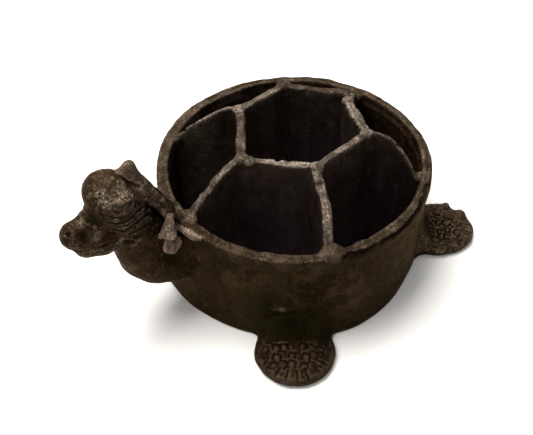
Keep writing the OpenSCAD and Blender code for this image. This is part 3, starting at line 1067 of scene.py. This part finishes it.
def strap_field(p):
    """A torn strip laid over the nape like a saddle, its end standing up behind the skull."""
    line = trace(p, STRAP_LINE)
    drop = 0.19 * p[:, 0] ** 2
    bent = p + np.stack([0 * drop, -0.35 * drop, 0.8 * drop], 1)
    up = np.clip((p[:, 2] - 47) / 30, 0, 1.1)
    thick = 1.75 + 0.5 * np.sin(np.pi * np.clip(up, 0, 1) ** 1.5) + 0.30 * rough(p, 5, 351, 3)
    half = STRAP_W / 2 - 2.7 * step(0.68, 1.0, up) + 0.4 * noise(p * [0, 1, 1], 6, 355)
    bent_line = trace(bent, STRAP_LINE)
    f = within([bent_line - thick, np.abs(p[:, 0]) - half], 1.1)
    f = smin(f, ball(p, at(67.8, 77.0, 0.6), 1.7), 1.2)
    near_head = smin(skull_core(p), neck_core(p), 3.0) + UNDER
    f = smin(f, near_head + 0.6 * step(64, 56, p[:, 2]), 3.0 + 3.0 * step(58, 68, p[:, 2]))
    f = smin(f, rim_field(p) + UNDER, 2.0)
    f = smax(f, np.minimum(bent_line, line) - 5.4, 1.0)
    f = smax(f, np.abs(p[:, 0]) - 6.6, 1.5)
    f = f + dent(trace(p, SLOT_LINE), 0.55, 1.2) * step(0.8, 2.2, p[:, 0])
    return f + 0.12 * rough(p, 2.1, 357, 2)


def strap_masks(p, n, wear, crease):
    foot = step(58, 50, p[:, 2]) * step(-0.1, 0.6, n[:, 2] + 0.4 * n[:, 0])
    slot = dent(trace(p, SLOT_LINE), 0.8, 1.0) * (p[:, 0] > 1)
    return {"wear": np.maximum(wear * 0.6, foot * 0.85) + 0.2 * step(56, 70, p[:, 2]),
            "soot_and_shade": np.maximum(crease * 0.9, slot),
            "pale": 0.16 * step(60, 74, p[:, 2])}


def stub_field(p):
    """The torn end of the rim: a thin three-cornered flap, and a rough pale break below it."""
    top, tip, low = at(58.6, 50.2, 5.4), at(65.0, 47.0, 8.9), at(60.2, 43.8, 9.4)
    f = smin(rod(p, top, tip, 1.3, 0.7), rod(p, top, low, 1.3, 0.9), 1.3)
    f = smin(f, rod(p, tip, low, 0.7, 0.9), 1.0)
    f = smin(f, ball(p, (top + tip + low) / 3, 1.3), 1.6)
    from_patch = ball(p, PATCH, 0) + 0.9 * noise(p, 2.6, 367)
    swell = 1.9 * np.exp(-((from_patch / 4.2) ** 2)) - 0.35 + 0.3 * noise(p, 1.5, 366)
    skin = smin(neck_core(p), wall_field(p), 3.0) - swell
    f = smin(f, smax(skin, from_patch - 5.0, 0.8), 1.4)
    ridge = [low + (0, 0, 1.5)] + along_shell((-88, -83, -76), (41.6, 42.6, 43.6), SHELL_R + 0.2)
    ridge.append(on_shell(-70, SHELL_R - 1.8, 43.4))
    f = smin(f, path(p, ridge, [0.9, 1.3, 1.6, 1.5, 0.9]), 1.8)
    return f + 0.22 * rough(p, 2.4, 361, 3)


def stub_masks(p, n, wear, crease):
    r, az = polar(p)
    ridge = step(SHELL_R + 6, SHELL_R + 2, r) * step(-72, -84, az)
    flap = np.maximum(step(43.0, 44.5, p[:, 2]) * step(-68, -82, az), ridge)
    speck = 0.5 + 0.5 * step(-0.2, 0.5, noise(p, 1.6, 369) + 0.6 * noise(p, 0.9, 370))
    on_patch = step(7.0, 4.5, ball(p, PATCH, 0)) * step(44.5, 43.0, p[:, 2])
    return {"wear": np.maximum(0.5 * wear, flap * 0.7), "soot_and_shade": crease * 0.8,
            "pale": on_patch * speck * 0.8}


piece("neck_strap_cast", "neck_strap", "head_metal", strap_field,
      (-9, -76, 44), (9, -48, 80), FINE, strap_masks)
piece("collar_stub_cast", "collar_stub", "torn_metal", stub_field,
      (3, -67, 31), (16, -51, 51), FINE, stub_masks)

# ---- the feet

PAD_R = 15.5  # radius of a foot's round pad
PAD_H = 5.5  # thickness of the pad
FLANGE_H = box_mm("foot_front_left")[1][2]  # height of the part turned up against the wall
TONGUE_W = 22.5  # width of the part between the pad and the wall
# Each foot: shift across, half width and half length in mm, strength of its relief, seed.
FOOT_SHAPES = {
    "foot_front_left": (1.0, 15.6, 15.2, 0.68, 1),
    "foot_front_right": (0.5, 15.3, 15.1, 0.8, 2),
    "foot_rear_left": (1.9, 14.6, 15.6, 1.45, 3),
    "foot_rear_right": (0.8, 15.0, 15.3, 1.0, 4),
}
TOES = (-52, -33, -15, 4, 22, 42, 60)  # directions of the lines that part the toes, degrees


def pad_centre(node):
    """The middle of a foot's round pad, which makes the two outer sides of the node's box."""
    lo, hi = box_mm(node)
    x = hi[0] - PAD_R if "left" in node else lo[0] + PAD_R
    y = lo[1] + PAD_R if "front" in node else hi[1] - PAD_R
    return np.array([x, y]) - AXIS[:2]


def foot_frame(p, node):
    """Distance outwards from the pad's middle and across it, mirrored on the right side."""
    c = pad_centre(node)
    run = np.linalg.norm(c)
    d = c / run
    across = p[:, 1] * d[0] - p[:, 0] * d[1]
    return p[:, 0] * d[0] + p[:, 1] * d[1] - run, across if "left" in node else -across


def stamps(seed):
    """Places of the U-shaped punch marks on a foot: staggered rows, each mark a little off."""
    rng = np.random.default_rng(700 + seed)
    marks = []
    for row, along in enumerate((-7.2, -3.6, 0.2, 4.0, 7.6)):
        half = 12.0 if along < 2 else 10.5 - 0.3 * along
        for across in np.arange(-half + (row % 2) * 1.9, half + 0.1, 3.7):
            if rng.random() < 0.88:
                shift = rng.normal(0, 0.45, 2)
                size, turn = rng.uniform(1.2, 1.7), rng.uniform(-50, 50)
                marks.append((along + shift[0], across + shift[1], size, turn))
    return marks


def punched(along, across, marks):
    """How deep the punch lines are at each place, and how far the metal inside them stands up."""
    pressed = np.zeros(len(along))
    bulge = np.zeros(len(along))
    for a, c, size, turn in marks:
        u, v = along - a, across - c
        d = np.hypot(u, v)
        open_end = np.cos(np.arctan2(v, u) - math.radians(turn))
        ring = np.exp(-(((d - size) / 0.42) ** 2)) * step(0.95, 0.55, open_end)
        pressed = np.maximum(pressed, ring)
        bulge = bulge + np.exp(-((d / (size * 0.7)) ** 2))
    for turn in TOES:
        t = math.radians(turn)
        out = along * math.cos(t) + across * math.sin(t)
        wide = -along * math.sin(t) + across * math.cos(t)
        line = np.exp(-((wide / 0.5) ** 2)) * step(9.0, 10.5, out) * step(14.8, 13.4, out)
        pressed = np.maximum(pressed, line)
    return pressed, bulge


def stamps_start(node):
    """How far from the shell's axis a foot's smooth top ends and its punch marks begin."""
    return WALL_R + (7.4 if "front" in node else 4.0)


MARKS = {node: stamps(shape[-1]) for node, shape in FOOT_SHAPES.items()}


def knobs(f, p, node):
    """The rear left foot's knob and end toe, with the notch between them."""
    c = pad_centre(node)
    d = c / np.linalg.norm(c)
    cross = np.array([-d[1], d[0]])
    knob = c + d * 4.8 + cross * 14.0
    notch = c + d * 8.6 + cross * 13.9
    toe = c + d * 10.2 + cross * 8.6
    f = smin(f, ball(p, (*knob, 3.4), 1.9), 0.9)
    f = smin(f, ball(p, (*toe, 3.2), 2.9), 1.2)
    return smax(f, 1.9 - ball(p, (*notch, 4.0), 0), 0.8)


def foot_field(p, node):
    """A round pad with a tongue to the wall, and a flange turned up against the wall."""
    shift, half_w, half_l, depth, seed = FOOT_SHAPES[node]
    start = stamps_start(node)
    along, across = foot_frame(p, node)
    off = across - shift
    z = p[:, 2]
    r, _ = polar(p)
    edge = (np.sqrt((along / half_l) ** 2 + (off / half_w) ** 2) - 1) * 15.2
    edge = edge + 0.45 * noise(p, 9, 400 + seed) + 0.2 * noise(p, 3, 410 + seed)
    top = PAD_H - 0.4 - 0.0054 * (along**2 + off**2) + 0.25 * noise(p, 8, 420 + seed)
    f = within([edge, z - top, -z], 2.1)
    tongue = within([np.abs(across + 1.2) - TONGUE_W / 2, along - 2, z - PAD_H + 0.6, -z], 1.8)
    f = smin(f, tongue, 2.0)
    rise = np.clip((FLANGE_H - 0.6 - z) / (FLANGE_H - PAD_H), 0, 1.2)
    lean = z - FLANGE_H + 1.2 + 0.05 * across**2 + 0.8 * noise(p, 8, 450 + seed)
    flange = within([np.abs(across) - 10.2, r - WALL_R - 1.2 - 6.2 * rise**2.0, lean, -z], 1.3)
    f = smin(f, flange, 4.0)
    f = smin(f, wall_field(p) + UNDER, 5.0)
    on_top = step(1.5, 4.0, z) * step(PAD_H + 2.6, PAD_H + 0.8, z) * step(start, start + 1.5, r)
    seen = on_top > 0
    pressed, bulge = np.zeros((2, len(p)))
    pressed[seen], bulge[seen] = punched(along[seen], off[seen], MARKS[node])
    uneven = 0.75 + 0.45 * noise(p, 6, 470 + seed)
    relief = (0.8 * pressed - 0.45 * bulge) * uneven + 0.22 * rough(p, 3.4, 430 + seed, 3)
    f = f + on_top * depth * relief + 0.12 * rough(p, 7, 440 + seed, 3)
    if node == "foot_rear_left":
        f = knobs(f, p, node)
    f = smax(f, -z, 0.3)
    return smax(smax(f, WALL_R - 2.2 - r, 0.3), np.abs(across) - 17.8, 1.0)


def foot_masks(p, n, wear, crease, node):
    along, across = foot_frame(p, node)
    high = step(1.5, 4.5, p[:, 2])
    start = stamps_start(node)
    skin = step(PAD_H + 2.4, PAD_H + 0.4, p[:, 2]) * step(start - 1.0, start + 1.0, polar(p)[0])
    outer = step(6, 12, np.hypot(along, across))
    shine, dirt = (3.7, 1.0) if "rear" in node else (0.4, 0.7)
    bare = wear * (0.5 + 0.6 * noise(p, 4, 461)) * skin
    return {
        "wear": (bare + 0.22 * outer) * high * shine,
        # Painted shade along the foot's lowest 1.6 mm, where it meets the floor, beside soot in the
        # creases.
        "soot_and_shade": np.maximum(crease * (0.55 + 0.4 * skin) * dirt, step(1.6, 0.4, p[:, 2]) * 0.7),
        "green": 1 - skin + 0.25 * step(0, -8, along),
        "pale": 0.10 * wear * skin,
    }


for node in FOOT_SHAPES:
    c = pad_centre(node)
    inner = c * (WALL_R - 2) / np.linalg.norm(c)
    foot_box = plan_box([c, inner], 18.5, -0.3, FLANGE_H + 2)
    piece(f"{node}_cast", node, "foot_metal",
          partial(foot_field, node=node), *foot_box, FINE * 1.1, partial(foot_masks, node=node))

# ---- camera, light and floor


def look(position, aim, roll):
    """Camera matrix at a position looking at a point, turned about its view by roll degrees."""
    position, aim = Vector(position), Vector(aim)
    ahead = (aim - position).normalized()
    right = ahead.cross(Vector((0, 0, 1))).normalized()
    up = right.cross(ahead)
    c, s = math.cos(math.radians(roll)), math.sin(math.radians(roll))
    right, up = right * c + up * s, up * c - right * s
    turn = Matrix((right, up, -ahead)).transposed()
    return Matrix.Translation(position) @ turn.to_4x4()


def area_light(name, offset, size, power, tint):
    """A light at an offset in metres from the shell's middle on the floor, shining at it."""
    data = bpy.data.lights.new(name, "AREA")
    data.shape = "RECTANGLE"
    data.size, data.size_y = size
    data.energy = power
    data.color = tint
    add_object(name, data).matrix_world = look(centre + Vector(offset), centre, 0)


centre = Vector(AXIS * MM)
lens = bpy.data.cameras.new("camera")
lens.sensor_width = 36
lens.lens = 49.5
lens.clip_start = 0.01
camera = add_object("camera", lens)
camera.matrix_world = look(
    centre + Vector((180.9, -126.7, 245.2)) * MM, centre + Vector((-13.9, -4.7, 0)) * MM, -2.19
)
bpy.context.scene.camera = camera

area_light("overhead", (-0.25, -0.1, 0.75), (0.7, 0.5), 14.0, (1.0, 0.97, 0.92))
area_light("front_fill", (0.55, -0.65, 0.4), (0.7, 0.7), 2.0, (1.0, 0.97, 0.93))

FLOOR = 30.0  # half the floor's width, metres
floor_mesh = bpy.data.meshes.new("floor")
corners = [(x * FLOOR, y * FLOOR, 0) for x, y in ((-1, -1), (1, -1), (1, 1), (-1, 1))]
floor_mesh.from_pydata(corners, [], [(0, 1, 2, 3)])
floor_mat, paper, paper_shader = new_material("paper")
fibres = texture(paper, object_place(paper), 900, 4)
grey = mix(paper, fibres, (0.76, 0.76, 0.76), (0.80, 0.80, 0.80))
link(paper, grey, paper_shader.inputs["Base Color"])
link(paper, 0.8, paper_shader.inputs["Roughness"])
bump(paper, fibres, paper_shader, 0.1, 0.0002)
floor_mesh.materials.append(floor_mat)
floor = add_object("floor", floor_mesh)

world = bpy.data.worlds.new("studio")
bpy.context.scene.world = world
world.use_nodes = True
sky = world.node_tree.nodes["Background"]
sky.inputs["Color"].default_value = (0.92, 0.90, 0.86, 1)
sky.inputs["Strength"].default_value = 0.48
bpy.context.scene.view_settings.view_transform = "Standard"
